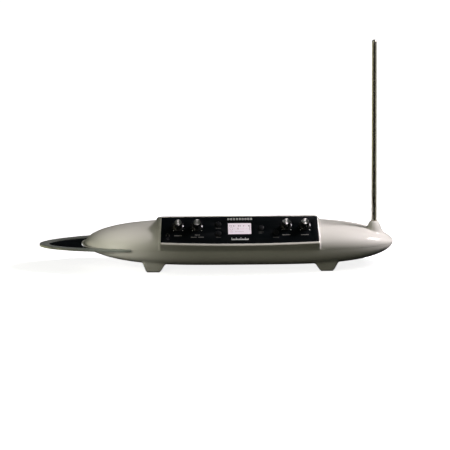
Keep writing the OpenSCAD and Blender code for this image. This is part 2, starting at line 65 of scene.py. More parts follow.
def N(nt, kind, **kw):
    n = nt.nodes.new(kind)
    for k, v in kw.items():
        if k.startswith("i_"):
            n.inputs[k[2:].replace("_", " ")].default_value = v
        else:
            setattr(n, k, v)
    return n

def coords(nt, scale=(1, 1, 1), rot=(0, 0, 0)):
    tc = N(nt, "ShaderNodeTexCoord")
    mp = N(nt, "ShaderNodeMapping")
    mp.inputs["Scale"].default_value = scale
    mp.inputs["Rotation"].default_value = rot
    nt.links.new(tc.outputs["Object"], mp.inputs["Vector"])
    return mp.outputs["Vector"]

def noise(nt, vec, scale, detail=3.0, rough=0.5):
    n = N(nt, "ShaderNodeTexNoise")
    n.inputs["Scale"].default_value = scale
    n.inputs["Detail"].default_value = detail
    n.inputs["Roughness"].default_value = rough
    nt.links.new(vec, n.inputs["Vector"])
    return n.outputs["Fac"]

def ramp(nt, fac, stops):
    r = N(nt, "ShaderNodeValToRGB")
    els = r.color_ramp.elements
    while len(els) < len(stops):
        els.new(0.5)
    for e, (p, c) in zip(els, stops):
        e.position = p
        e.color = (*c, 1) if len(c) == 3 else c
    nt.links.new(fac, r.inputs["Fac"])
    return r.outputs["Color"]

def maprange(nt, fac, lo, hi, f0=0.0, f1=1.0):
    r = N(nt, "ShaderNodeMapRange")
    r.inputs["From Min"].default_value = f0
    r.inputs["From Max"].default_value = f1
    r.inputs["To Min"].default_value = lo
    r.inputs["To Max"].default_value = hi
    nt.links.new(fac, r.inputs["Value"])
    return r.outputs["Result"]

def bump(nt, bsdf, height, strength, dist=0.0002, prev=None):
    b = N(nt, "ShaderNodeBump")
    b.inputs["Strength"].default_value = strength
    b.inputs["Distance"].default_value = dist
    nt.links.new(height, b.inputs["Height"])
    if prev is not None:
        nt.links.new(prev, b.inputs["Normal"])
    nt.links.new(b.outputs["Normal"], bsdf.inputs["Normal"])
    return b.outputs["Normal"]

def tint(c, f):
    return tuple(max(0.0, min(1.0, v * f)) for v in c)

def plastic(name, col, rough=0.35, vary=0.04, grain=900.0, bumpy=0.08, spec=0.5, coat=0.0, blot=14.0, coat_rough=0.1):
    """Moulded plastic: slow colour drift, fine moulding grain, uneven gloss."""
    m, nt, b = new_mat(name)
    v = coords(nt)
    slow = noise(nt, v, blot, 3.0)
    nt.links.new(ramp(nt, slow, [(0.3, tint(col, 1 - vary)), (0.7, tint(col, 1 + vary))]), b.inputs["Base Color"])
    fine = noise(nt, v, grain, 2.0)
    mid = noise(nt, v, 60.0, 4.0)
    nt.links.new(maprange(nt, mid, rough * 0.86, rough * 1.14, 0.3, 0.7), b.inputs["Roughness"])
    bump(nt, b, fine, bumpy, 0.0001)
    b.inputs["Specular IOR Level"].default_value = spec
    b.inputs["Coat Weight"].default_value = coat
    b.inputs["Coat Roughness"].default_value = coat_rough
    return m

def metal(name, col, rough=0.25, stretch=(1, 1, 1), scale=400.0, bumpy=0.1, vary=0.06, metallic=1.0, aniso=0.0):
    """Metal with fine drawn or turned lines along the axis that stretch squeezes."""
    m, nt, b = new_mat(name)
    v = coords(nt, stretch)
    lines = noise(nt, v, scale, 3.0, 0.6)
    slow = noise(nt, coords(nt), 12.0, 3.0)
    nt.links.new(ramp(nt, slow, [(0.3, tint(col, 1 - vary)), (0.7, tint(col, 1 + vary))]), b.inputs["Base Color"])
    b.inputs["Metallic"].default_value = metallic
    nt.links.new(maprange(nt, lines, rough * 0.75, rough * 1.3, 0.3, 0.7), b.inputs["Roughness"])
    bump(nt, b, lines, bumpy, 0.00005)
    if aniso:
        b.inputs["Anisotropic"].default_value = aniso
    return m

def give(ob, mat):
    ob.data.materials.clear()
    ob.data.materials.append(mat)

def cad(names, mat, slot=None):
    for n in ([names] if isinstance(names, str) else names):
        o = NODES[n]
        for i in range(max(1, len(o.material_slots))):
            if len(o.material_slots) == 0:
                o.data.materials.append(mat)
            o.material_slots[i].material = mat

# ---------------------------------------------------------------- mesh helpers (millimetres in, metres out)
def mesh_ob(name, verts, faces, smooth=True):
    me = bpy.data.meshes.new(name)
    me.from_pydata([tuple(np.asarray(v) * MM) for v in verts], [], [tuple(int(i) for i in f) for f in faces])
    me.validate()
    me.update()
    ob = bpy.data.objects.new(name, me)
    scene.collection.objects.link(ob)
    if smooth:
        me.polygons.foreach_set("use_smooth", [True] * len(me.polygons))
    return ob

def grid_mesh(name, V, F):
    me = bpy.data.meshes.new(name)
    me.vertices.add(len(V))
    me.vertices.foreach_set("co", (np.asarray(V, dtype=np.float64) * MM).ravel().astype(np.float32))
    F = np.asarray(F, dtype=np.int64)
    k = F.shape[1]
    me.loops.add(F.size)
    me.loops.foreach_set("vertex_index", F.ravel().astype(np.int32))
    me.polygons.add(len(F))
    me.polygons.foreach_set("loop_start", (np.arange(len(F)) * k).astype(np.int32))
    me.polygons.foreach_set("loop_total", np.full(len(F), k, dtype=np.int32))
    me.polygons.foreach_set("use_smooth", np.ones(len(F), dtype=bool))
    me.update(calc_edges=True)
    me.validate()
    ob = bpy.data.objects.new(name, me)
    scene.collection.objects.link(ob)
    return ob

def apply_mods(ob):
    dg = bpy.context.evaluated_depsgraph_get()
    dg.update()
    me = bpy.data.meshes.new_from_object(ob.evaluated_get(dg))
    old = ob.data
    ob.modifiers.clear()
    ob.data = me
    bpy.data.meshes.remove(old)
    return ob

def cut(ob, cutter, op="DIFFERENCE", solver="EXACT"):
    m = ob.modifiers.new("cut", "BOOLEAN")
    m.operation = op
    m.solver = solver
    m.object = cutter
    apply_mods(ob)
    bpy.data.objects.remove(cutter)
    return ob

def bevel(ob, width, segments=2, angle=35):
    m = ob.modifiers.new("bevel", "BEVEL")
    m.width = width * MM
    m.segments = segments
    m.limit_method = "ANGLE"
    m.angle_limit = math.radians(angle)
    m.harden_normals = False
    apply_mods(ob)
    return ob

def smooth_by_angle(ob, deg=35):
    me = ob.data
    me.polygons.foreach_set("use_smooth", [True] * len(me.polygons))
    bm = bmesh.new()
    bm.from_mesh(me)
    lim = math.radians(deg)
    for e in bm.edges:
        if len(e.link_faces) == 2 and e.calc_face_angle(0.0) > lim:
            e.smooth = False
        elif len(e.link_faces) != 2:
            e.smooth = False
    bm.to_mesh(me)
    bm.free()
    return ob

def prism(name, outline, z0, z1, place=None):
    """Closed prism from a 2D outline (mm), optionally carried by place(x, y, z)."""
    n = len(outline)
    place = place or (lambda x, y, z: (x, y, z))
    V = [place(x, y, z0) for x, y in outline] + [place(x, y, z1) for x, y in outline]
    F = [list(range(n))[::-1], [n + i for i in range(n)]] + [[i, (i + 1) % n, n + (i + 1) % n, n + i] for i in range(n)]
    return mesh_ob(name, V, F, smooth=False)

def lathe(name, profile, n=64, place=None, smooth=True, closed=False):
    """Profile of (r, z) turned round z; ends on the axis are closed with a fan."""
    place = place or (lambda x, y, z: (x, y, z))
    V, F, rings = [], [], []
    for r, z in profile:
        if r < 1e-6:
            rings.append([len(V)])
            V.append(place(0, 0, z))
        else:
            rings.append(list(range(len(V), len(V) + n)))
            V += [place(r * math.cos(2 * math.pi * i / n), r * math.sin(2 * math.pi * i / n), z) for i in range(n)]
    pairs = list(zip(rings[:-1], rings[1:])) + ([(rings[-1], rings[0])] if closed else [])
    for a, b in pairs:
        for i in range(n):
            j = (i + 1) % n
            if len(a) == 1 and len(b) == 1:
                continue
            if len(a) == 1:
                F.append([a[0], b[j], b[i]])
            elif len(b) == 1:
                F.append([a[i], a[j], b[0]])
            else:
                F.append([a[i], a[j], b[j], b[i]])
    ob = mesh_ob(name, V, F, smooth)
    bm = bmesh.new(); bm.from_mesh(ob.data)
    bmesh.ops.recalc_face_normals(bm, faces=bm.faces)
    bm.to_mesh(ob.data); bm.free()
    return ob

def join(name, obs):
    bm = bmesh.new()
    for o in obs:
        me = o.data
        bm.from_mesh(me)
    me = bpy.data.meshes.new(name)
    bm.to_mesh(me); bm.free()
    ob = bpy.data.objects.new(name, me)
    scene.collection.objects.link(ob)
    for o in obs:
        bpy.data.objects.remove(o)
    return ob

# ---------------------------------------------------------------- the case's lines, as in the CAD source
X0, RL, LL, LLOW = 49.0, 307.0, 313.0, 320.0
HW, SEAM, CROWN, KEEL, WALL, GAP = 70.0, 49.0, 43.0, 39.7, 3.0, 0.15
TAU = math.radians(47.0)
ST, CT = math.sin(TAU), math.cos(TAU)
FACE_HALF, FACE_H, SAG, BACK_Z, BACK_Y = 161.3, 70.7, 4.6, 79.0, 80.0
XC = 45.5
FP = (XC, -80.0, 63.0)
ROD_X, CONE_Z = 318.0, 90.7

def face_pt(x, w, z=0.0):
    """A point of the sloping front: x from its middle, w up the slope, z out of it."""
    return (FP[0] + x, FP[1] + w * ST - z * CT, FP[2] + w * CT + z * ST)

def sup(t, p, q):
    return np.maximum(0.0, 1.0 - np.minimum(np.abs(t), 1.0) ** p) ** q

def lines(X, d, left):
    tr, tl = (X - X0) / (RL - d), (X0 - X) / (left - d)
    R = X > X0
    b = (HW - d) * np.where(R, sup(tr, 3.4, 1 / 2.2), sup(tl, 2.8, 1 / 2.6))
    c = (CROWN - d) * np.where(R, sup(tr, 3.67, 1 / 1.5), sup(tl, 4.2, 1 / 1.78))
    k = (KEEL - d) * np.where(R, sup(tr, 4.2, 1 / 1.83), sup(tl, 3.9, 1 / 1.2))
    return np.maximum(b, 0.05), np.maximum(c, 0.05), np.maximum(k, 0.05)

def smax(a, b, k):
    h = np.maximum(k - np.abs(a - b), 0.0) / k
    return np.maximum(a, b) + h * h * k * 0.25

def smin(a, b, k):
    return -smax(-a, -b, k)

def f_console(X, Y, Z, d, kk=1.0):
    """Signed field of the console, drawn in by d."""
    b, _, _ = lines(X, 0.0, LL)
    xr = (X - XC) / FACE_HALF
    side = np.abs(X - XC) - (FACE_HALF + 4.0 * (Y + 80.0) / 160.0 - 0.087 * np.maximum(Z - 63.0, 0.0))
    top_y, top_z = FP[1] + FACE_H * ST, FP[2] + FACE_H * CT
    L = math.hypot(BACK_Y - top_y, top_z - BACK_Z)
    ny, nz = (top_z - BACK_Z) / L, (BACK_Y - top_y) / L
    top = (Y - top_y) * ny + (Z - top_z) * nz
    front = -(Y - FP[1]) * CT + (Z - FP[2]) * ST
    wb = SAG * np.minimum(xr * xr, 1.2)
    ey, ez = FP[1] + wb * ST, FP[2] + wb * CT
    sy, sz = -b, np.full_like(b, SEAM)
    uy, uz = ey - sy, ez - sz
    ul = np.sqrt(uy * uy + uz * uz)
    under = (-(Y - sy) * uz + (Z - sz) * uy) / ul
    back = Y - (BACK_Y if d == 0 else 73.0)
    g = smax(top, side, 7.0 * kk)
    g = smax(g, under, 2.5 * kk)
    g = smax(g, front, 2.2 * kk)
    g = smax(g, back, 9.0 * kk)
    return g + d

def upper_field(X, th, r, d):
    Y, Z = r * np.cos(th), SEAM + r * np.sin(th)
    b, c, _ = lines(X, d, LL)
    n = 2.3
    rd = 1.0 / ((np.abs(np.cos(th)) / b) ** n + (np.abs(np.sin(th)) / c) ** n) ** (1 / n)
    dome = (r - rd) * 0.93
    f = smin(dome, f_console(X, Y, Z, d), 2.8 if d == 0 else 1.0)
    if d == 0:
        rho = np.sqrt((X - ROD_X) ** 2 + Y ** 2)
        hs = np.clip((Z - 62.0) / (CONE_Z - 62.0), 0, 1)
        prof = 6.1 + 13.2 * (1 - hs) ** 0.62 + 6.0 * np.maximum(0, 0.35 - hs) ** 0.9
        cone = (rho - prof) * 0.86
        cone = smax(cone, Z - CONE_Z, 1.2)
        f = smin(f, np.where(Z > 60, cone, 50.0), 3.0)
    return f

def f_block(X, Y, Z, d):
    back = Y - ((BACK_Y if d == 0 else 73.0) - np.clip((48.0 - Z) / 24.0, 0, 1))
    low = (Y - 79.0) * 0.431 - (Z - 24.0) * 0.902
    bot = 13.0 - Z
    front = 20.0 - Y
    inset = np.clip((48.0 - Z) / 24.0, 0, 1) * 4.0 + np.clip((24.0 - Z) / 11.0, 0, 1) * 8.0
    side = np.abs(X - XC) - (FACE_HALF + 4.0 - inset)
    g = smax(low, bot, 8.0)
    g = smax(g, back, 7.0)
    g = smax(g, side, 5.0)
    return smax(g, front, 2.0) + d

FEET = [(-128.0, 15.0, -126.5, 22.5), (221.5, 14.5, 220.5, 23.5)]

def f_foot(X, Y, Z, f, s):
    t = np.clip((Z - 1.5) / 15.5, 0, 1)
    cx, hx = f[0] + (f[2] - f[0]) * t, f[1] + (f[3] - f[1]) * t
    cy, hy = s * (35.5 - 1.5 * t), 15.5 + 3.5 * t
    r = 4.5
    qx, qy = np.abs(X - cx) - hx + r, np.abs(Y - cy) - hy + r
    d2 = np.sqrt(np.maximum(qx, 0) ** 2 + np.maximum(qy, 0) ** 2) + np.minimum(np.maximum(qx, qy), 0) - r
    return smax(smax(d2, 1.5 - Z, 1.6), Z - 30.0, 2.0)

def lower_field(X, th, r, d):
    Y, Z = r * np.cos(th), SEAM - r * np.sin(th)
    b, _, k = lines(X, d, LLOW)
    n = 3.0
    rd = 1.0 / ((np.abs(np.cos(th)) / b) ** n + (np.abs(np.sin(th)) / k) ** n) ** (1 / n)
    f = smin((r - rd) * 0.93, f_block(X, Y, Z, d), 6.0 if d == 0 else 1.0)
    if d == 0:
        for ft in FEET:
            for s in (-1, 1):
                f = smin(f, f_foot(X, Y, Z, ft, s), 4.0)
    return f

def radial(field, X, T, d):
    """Distance from the axis (Y 0, joint height) to the surface along each angle: the outermost crossing."""
    steps = np.linspace(0.02, 128.0, 120)
    last = np.zeros_like(X)
    for s in steps:
        last = np.where(field(X, T, np.full_like(X, s), d) < 0, s, last)
    lo, hi = last, last + (steps[1] - steps[0])
    for _ in range(22):
        mid = 0.5 * (lo + hi)
        ins = field(X, T, mid, d) < 0
        lo, hi = np.where(ins, mid, lo), np.where(ins, hi, mid)
    return 0.5 * (lo + hi)

def stations(left, right, extra, k=64):
    t = np.sin(np.linspace(0, 1, k + 1) * math.pi / 2)
    t[-1] = 0.99997
    xs = list(X0 - left * t) + list(X0 + right * t[1:])
    for a, b, step in extra:
        xs = [x for x in xs if not (a - step * 0.6 < x < b + step * 0.6)] + list(np.arange(a, b + 1e-6, step))
    return np.array(sorted(xs))

def angles(X, keys, counts, width):
    """Angles at each station, crowded round the console's edges."""
    marks = [np.zeros_like(X)]
    for kk, w in zip(keys, width):
        marks += [kk - w, kk + w]
    marks.append(np.full_like(X, math.pi))
    cols = []
    for i, n in enumerate(counts):
        u = np.arange(n) / n
        cols.append(marks[i][:, None] + (marks[i + 1] - marks[i])[:, None] * u[None, :])
    cols.append(marks[-1][:, None])
    return np.concatenate(cols, 1)

def build_shell(name, field, up, left, xs, T, warp=None):
    """Closed moulding: outer skin, inner skin and the rim at the joint line, all quads."""
    X = np.repeat(xs[:, None], T.shape[1], 1)
    if warp is not None:
        X = X + warp(X, T)
    r = radial(field, X, T, 0.0)
    ti = (xs - xs[0]) / (xs[-1] - xs[0])
    xin = xs.copy()
    lo, hi = X0 - (left - WALL) * 0.99995, X0 + (RL - WALL) * 0.99995
    xin = np.clip(X0 + (xs - X0) * np.where(xs < X0, (left - WALL) / left, (RL - WALL) / RL), lo, hi)
    Xi = np.repeat(xin[:, None], T.shape[1], 1)
    ri = radial(field, Xi, T, WALL)
    ri = np.minimum(ri, np.maximum(r - 1.0, 0.01))
    lip = SEAM + up * GAP
    def pts(XX, R):
        Z = SEAM + up * R * np.sin(T)
        Z = np.maximum(Z, lip) if up > 0 else np.minimum(Z, lip)
        return np.stack([XX, R * np.cos(T), Z], -1)
    A, B = pts(X, r), pts(Xi, ri)
    n, m = A.shape[:2]
    V = np.concatenate([A.reshape(-1, 3), B.reshape(-1, 3)])
    i, j = np.meshgrid(np.arange(n - 1), np.arange(m - 1), indexing="ij")
    a = i * m + j
    qa = np.stack([a, a + 1, a + m + 1, a + m], -1).reshape(-1, 4)
    o = n * m
    qb = qa[:, ::-1] + o
    k = np.arange(n - 1)
    rim0 = np.stack([k * m, (k + 1) * m, (k + 1) * m + o, k * m + o], -1)
    rim1 = np.stack([k * m + m - 1, k * m + m - 1 + o, (k + 1) * m + m - 1 + o, (k + 1) * m + m - 1], -1)
    q = np.arange(m - 1)
    end0 = np.stack([q, q + o, q + 1 + o, q + 1], -1)
    e = (n - 1) * m
    end1 = np.stack([e + q, e + q + 1, e + q + 1 + o, e + q + o], -1)
    ob = grid_mesh(name, V, np.concatenate([qa, qb, rim0, rim1, end0, end1]))
    bm = bmesh.new()
    bm.from_mesh(ob.data)
    bmesh.ops.remove_doubles(bm, verts=bm.verts, dist=1e-7)
    bmesh.ops.dissolve_degenerate(bm, edges=bm.edges, dist=1e-8)
    bmesh.ops.recalc_face_normals(bm, faces=bm.faces)
    bad = sum(1 for ed in bm.edges if len(ed.link_faces) != 2)
    vol = bm.calc_volume(signed=True)
    if vol < 0:
        bmesh.ops.reverse_faces(bm, faces=bm.faces)
    bm.to_mesh(ob.data)
    bm.free()
    print(name, "faces", len(ob.data.polygons), "open edges", bad, "volume cm3", round(vol * 1e6, 1))
    return ob

def rounded(points, r, n=5):
    """Rounds the corners of an outline given as (x, y, sharp) points."""
    out = []
    m = len(points)
    for i, p in enumerate(points):
        if not p[2]:
            out.append((p[0], p[1]))
            continue
        a, b = np.array(points[i - 1][:2]), np.array(points[(i + 1) % m][:2])
        q = np.array(p[:2])
        u, v = (a - q) / np.linalg.norm(a - q), (b - q) / np.linalg.norm(b - q)
        half = 0.5 * math.acos(np.clip(np.dot(u, v), -1, 1))
        t = r / math.tan(half)
        c = q + (u + v) / np.linalg.norm(u + v) * (r / math.sin(half))
        p0, p1 = q + u * t, q + v * t
        a0, a1 = math.atan2(*(p0 - c)[::-1]), math.atan2(*(p1 - c)[::-1])
        dlt = (a1 - a0 + math.pi) % (2 * math.pi) - math.pi
        out += [(c[0] + r * math.cos(a0 + dlt * k / n), c[1] + r * math.sin(a0 + dlt * k / n)) for k in range(n + 1)]
    return out

def panel_outline(grow=0.0, r=2.5, half=159.9, top=156.5, y0=5.1, sag=3.85, y1=68.6):
    n = 24
    pts = []
    for i in range(-n, n + 1):
        x = (half + grow) * i / n
        pts.append((x, y0 - grow + sag * (i / n) ** 2, abs(i) == n))
    pts += [(top + grow, y1 + grow, True), (-top - grow, y1 + grow, True)]
    return rounded(pts, r)

def loop_edge(hw, tip, n=40, end=-173.0):
    pts = []
    for i in range(-n, n + 1):
        s = abs(i) / n
        x = tip + (end - tip) * s * s
        pts.append((x, math.copysign(1, i) * hw * float(sup(np.float64((end - x) / (end - tip)), 1.5, 0.5))))
    return pts

# ---------------------------------------------------------------- upper and lower mouldings
def edge_angles(xs):
    xr = np.clip((xs - XC) / FACE_HALF, -1, 1)
    wb = SAG * xr * xr
    k1 = np.arctan2(FP[2] + wb * CT - SEAM, FP[1] + wb * ST)
    k2 = np.full_like(xs, math.atan2(FP[2] + FACE_H * CT - SEAM, FP[1] + FACE_H * ST))
    k3 = np.full_like(xs, math.atan2(BACK_Z - SEAM, BACK_Y))
    return k3, k2, k1

D = math.radians
ux = stations(LL, RL, [(-122.5, -107.5, 0.75), (198.5, 213.5, 0.75), (301.0, 335.0, 1.3)])
k3, k2, k1 = edge_angles(ux)
UT = angles(ux, (k3, k2, k1), (12, 12, 84, 12, 22, 10, 10), (D(5), D(2.6), D(1.7)))

def flare(X, T):
    """Moves the stations so that they run along the console's flared ends."""
    Xe = np.full_like(T, X0)
    rc = radial(upper_field, Xe, T, 0.0)
    sh = 4.0 * (rc * np.cos(T) + 80.0) / 160.0
    wl = np.clip(1 - np.abs(X - (XC - FACE_HALF)) / 38.0, 0, 1)
    wr = np.clip(1 - np.abs(X - (XC + FACE_HALF)) / 38.0, 0, 1)
    wl, wr = wl * wl * (3 - 2 * wl), wr * wr * (3 - 2 * wr)
    return sh * (wr - wl)

upper = build_shell("upper_case", upper_field, 1, LL, ux, UT, flare)

lx = stations(LLOW, RL, [(-125.0, -99.0, 1.0), (-152.0, -140.0, 1.0), (192.0, 246.0, 1.0)])
LT = angles(lx, (np.full_like(lx, D(52)), np.full_like(lx, D(122))), (34, 46, 16, 46, 14), (D(24), D(24)))
lower = build_shell("lower_case", lower_field, -1, LLOW, lx, LT)

def slab(name, x0, x1, y0, y1, z0, z1, r=3.0):
    pts = rounded([(x0, z0, True), (x1, z0, True), (x1, z1, True), (x0, z1, True)], r)
    return prism(name, pts, y0, y1, lambda x, z, y: (x, y, z))

def band_outline(grow):
    o = loop_edge(64.0 + grow, -356.0 - grow, end=-173.0 + grow)
    i = loop_edge(52.0 - grow, -337.3 + grow, end=-173.0 + grow)
    return o + i[::-1]

LOOP_T, DROOP = 4.0, math.radians(0.8)
def loop_pt(x, y, z):
    """The loop's plane, z from its underside, pivoting just inside the case."""
    a, h = x + 190.0, z
    return (-190.0 + a * math.cos(DROOP) - h * math.sin(DROOP), y, 50.5 - LOOP_T + a * math.sin(DROOP) + h * math.cos(DROOP))

def normals_out(ob):
    bm = bmesh.new(); bm.from_mesh(ob.data)
    bmesh.ops.recalc_face_normals(bm, faces=bm.faces)
    if bm.calc_volume(signed=True) < 0:
        bmesh.ops.reverse_faces(bm, faces=bm.faces)
    bm.to_mesh(ob.data); bm.free()
    return ob

def drill(name, x, y, z0, z1, r, n=40):
    return normals_out(lathe(name, [(0, z0), (r, z0), (r, z1), (0, z1)], n, lambda a, b, c: (x + a, y + b, c)))

for ob, holes in ((upper, [prism("c", panel_outline(0.12), -2.5, 8.0, face_pt),
                           prism("c", panel_outline(-4.0), -14.0, 8.0, face_pt),
                           slab("c", -100.1, 197.1, 73.5, 90.0, 26.9, 74.1),
                           slab("c", -97.0, 194.0, 60.0, 90.0, 30.0, 71.0),
                           drill("c", ROD_X, 0, 55.0, 100.0, 5.6),
                           prism("c", band_outline(0.3), -0.15, LOOP_T + 0.15, loop_pt)]),
                  (lower, [slab("c", -100.1, 197.1, 73.5, 90.0, 26.9, 74.1),
                           slab("c", -97.0, 194.0, 60.0, 90.0, 30.0, 71.0),
                           drill("c", 30.0, 0.0, -5.0, 30.0, 12.2),
                           prism("c", band_outline(0.3), -0.15, LOOP_T + 0.15, loop_pt)]
                          + [drill("c", px, py, -5.0, 30.0, 4.2, 28) for px, py in
                             [(-150, -30), (-150, 30), (60, -53), (100, 53), (262, -34), (262, 34)]])):
    for h in holes:
        normals_out(h)
        cut(ob, h, solver="MANIFOLD")
    smooth_by_angle(ob, 32)
    print(ob.name, "after cuts", len(ob.data.polygons))
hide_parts("upper_shell"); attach(upper, "case")
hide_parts("lower_shell"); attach(lower, "case")

# ---------------------------------------------------------------- helpers for the fitted parts
def face_ob(ob, x, w, turn=0.0):
    """Stands a mesh built on its own origin (z out of the panel) at a point of the sloping front."""
    o = face_pt(x, w, 0.0)
    c, s_ = math.cos(turn), math.sin(turn)
    ex, ey, ez = Vector((1, 0, 0)), Vector((0, ST, CT)), Vector((0, -CT, ST))
    ax, ay = ex * c + ey * s_, -ex * s_ + ey * c
    m = Matrix(((ax.x, ay.x, ez.x, o[0] * MM), (ax.y, ay.y, ez.y, o[1] * MM), (ax.z, ay.z, ez.z, o[2] * MM), (0, 0, 0, 1)))
    ob.matrix_world = m
    return ob

def levels(name, rows, n=96, cap0=True, cap1=True):
    """Skin over rings given as (radius function of the angle, z)."""
    V, F = [], []
    for rf, z in rows:
        for i in range(n):
            a = 2 * math.pi * i / n
            r = rf(a) if callable(rf) else rf
            V.append((r * math.cos(a), r * math.sin(a), z))
    for k in range(len(rows) - 1):
        for i in range(n):
            j = (i + 1) % n
            F.append([k * n + i, k * n + j, (k + 1) * n + j, (k + 1) * n + i])
    if cap0:
        F.append([i for i in range(n)][::-1])
    if cap1:
        F.append([(len(rows) - 1) * n + i for i in range(n)])
    return mesh_ob(name, V, F)

def box(name, x0, x1, y0, y1, z0, z1, place=None):
    return prism(name, [(x0, y0), (x1, y0), (x1, y1), (x0, y1)], z0, z1, place)

def put(ob, mat, body, nodes=()):
    if mat is not None:
        give(ob, mat)
    if nodes:
        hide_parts(*nodes)
    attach(ob, body)
    return ob

# ---------------------------------------------------------------- materials
CASE = plastic("case_white", (0.70, 0.69, 0.625), rough=0.55, vary=0.025, grain=1300.0, bumpy=0.04, spec=0.3, coat=0.6, blot=9.0, coat_rough=0.1)
PANEL = plastic("panel_black", (0.0022, 0.0034, 0.0042), rough=0.34, vary=0.12, grain=1600.0, bumpy=0.04, spec=0.16, coat=0.08, blot=20.0, coat_rough=0.1)
KNOB = plastic("knob_black", (0.008, 0.0085, 0.009), rough=0.24, vary=0.12, grain=1500.0, bumpy=0.05, spec=0.5, coat=0.5, blot=120.0, coat_rough=0.08)
BUTTON = plastic("button_black", (0.011, 0.012, 0.013), rough=0.3, vary=0.1, grain=1500.0, bumpy=0.05, coat=0.3, blot=90.0)
RUBBER = plastic("pad_rubber", (0.018, 0.018, 0.018), rough=0.8, vary=0.15, grain=700.0, bumpy=0.25, spec=0.25, blot=40.0)
REAR = plastic("rear_black", (0.05, 0.05, 0.053), rough=0.5, vary=0.1, grain=2200.0, bumpy=0.3, blot=25.0)
JACK = plastic("jack_black", (0.03, 0.03, 0.032), rough=0.42, vary=0.1, grain=900.0, bumpy=0.1, blot=50.0)
INFILL = plastic("infill_black", (0.0022, 0.0034, 0.0042), rough=0.75, vary=0.15, grain=900.0, bumpy=0.05, spec=0.04, blot=18.0)
BOARD = plastic("board_green", (0.02, 0.12, 0.055), rough=0.38, vary=0.2, grain=500.0, bumpy=0.2, blot=70.0)
RIBBON = plastic("ribbon_grey", (0.38, 0.39, 0.41), rough=0.5, vary=0.12, grain=300.0, bumpy=0.2, blot=80.0)
PAPER = plastic("cone_paper", (0.03, 0.03, 0.032), rough=0.9, vary=0.2, grain=500.0, bumpy=0.5, spec=0.2, blot=60.0)
FERRITE = plastic("magnet_ferrite", (0.07, 0.07, 0.075), rough=0.6, vary=0.2, grain=400.0, bumpy=0.3, blot=60.0)
LEAD = plastic("lead_red", (0.42, 0.03, 0.025), rough=0.45, vary=0.1, grain=500.0, bumpy=0.1, blot=60.0)
FORMER = plastic("former_plastic", (0.62, 0.6, 0.5), rough=0.5, vary=0.08, grain=600.0, bumpy=0.1, blot=50.0)
LOOP = metal("loop_metal", (0.36, 0.385, 0.35), rough=0.42, stretch=(0.25, 1, 1), scale=700.0, bumpy=0.12, vary=0.05, metallic=0.55)
ROD = metal("rod_metal", (0.62, 0.60, 0.52), rough=0.24, stretch=(1, 1, 0.04), scale=900.0, bumpy=0.012, vary=0.02, metallic=0.92)
STEEL = metal("screw_steel", (0.5, 0.5, 0.52), rough=0.28, scale=800.0, bumpy=0.15)
NICKEL = metal("jack_metal", (0.6, 0.6, 0.6), rough=0.25, scale=600.0, bumpy=0.1)
SHAFT = metal("shaft_metal", (0.62, 0.62, 0.63), rough=0.3, scale=700.0, bumpy=0.12)
POT = metal("pot_metal", (0.42, 0.44, 0.46), rough=0.38, scale=300.0, bumpy=0.1, vary=0.1)
LCDFRAME = metal("lcd_metal", (0.6, 0.61, 0.6), rough=0.35, scale=300.0, bumpy=0.1)
BRASS = metal("brass", (0.68, 0.5, 0.24), rough=0.28, scale=500.0, bumpy=0.12, vary=0.1)
COPPER = metal("copper_wire", (0.62, 0.27, 0.12), rough=0.32, stretch=(1, 1, 30), scale=300.0, bumpy=0.5, vary=0.12)
INK = plastic("ink_pale", (0.84, 0.85, 0.82), rough=0.6, vary=0.1, grain=1500.0, bumpy=0.05, blot=300.0)
INK_MID = plastic("ink_grey", (0.2, 0.2, 0.185), rough=0.6, vary=0.15, grain=1500.0, bumpy=0.05, blot=300.0)
INK_DIM = plastic("ink_dim", (0.06, 0.06, 0.055), rough=0.6, vary=0.15, grain=1500.0, bumpy=0.05, blot=300.0)

def window_material():
    m, nt, b = new_mat("window_pale")
    v = coords(nt)
    slow = noise(nt, v, 35.0, 2.0)
    col = ramp(nt, slow, [(0.3, (0.66, 0.585, 0.635)), (0.7, (0.72, 0.645, 0.695))])
    nt.links.new(col, b.inputs["Base Color"])
    nt.links.new(col, b.inputs["Emission Color"])
    b.inputs["Emission Strength"].default_value = 0.52
    nt.links.new(maprange(nt, noise(nt, v, 90.0, 3.0), 0.22, 0.32, 0.3, 0.7), b.inputs["Roughness"])
    b.inputs["Specular IOR Level"].default_value = 0.3
    return m

WINDOW = window_material()
PIXEL = plastic("lcd_mark", (0.33, 0.31, 0.34), rough=0.5, vary=0.1, grain=1500.0, bumpy=0.03, spec=0.2, blot=300.0)

def cap_material():
    """Turned metal cap: rings round the knob's axis and the bow-tie glint that goes with them."""
    m, nt, b = new_mat("cap_metal")
    tc = N(nt, "ShaderNodeTexCoord")
    ln = N(nt, "ShaderNodeVectorMath", operation="LENGTH")
    nt.links.new(tc.outputs["Object"], ln.inputs[0])
    w = N(nt, "ShaderNodeMath", operation="MULTIPLY")
    w.inputs[1].default_value = 9000.0
    nt.links.new(ln.outputs["Value"], w.inputs[0])
    sn = N(nt, "ShaderNodeMath", operation="SINE")
    nt.links.new(w.outputs[0], sn.inputs[0])
    nt.links.new(ramp(nt, noise(nt, coords(nt), 200.0, 2.0), [(0.3, (0.80, 0.79, 0.74)), (0.7, (0.90, 0.89, 0.84))]), b.inputs["Base Color"])
    b.inputs["Metallic"].default_value = 1.0
    nt.links.new(maprange(nt, sn.outputs[0], 0.30, 0.40, -1, 1), b.inputs["Roughness"])
    b.inputs["Anisotropic"].default_value = 0.95
    tg = N(nt, "ShaderNodeTangent", direction_type="RADIAL", axis="Z")
    nt.links.new(tg.outputs["Tangent"], b.inputs["Tangent"])
    return m

CAP = cap_material()

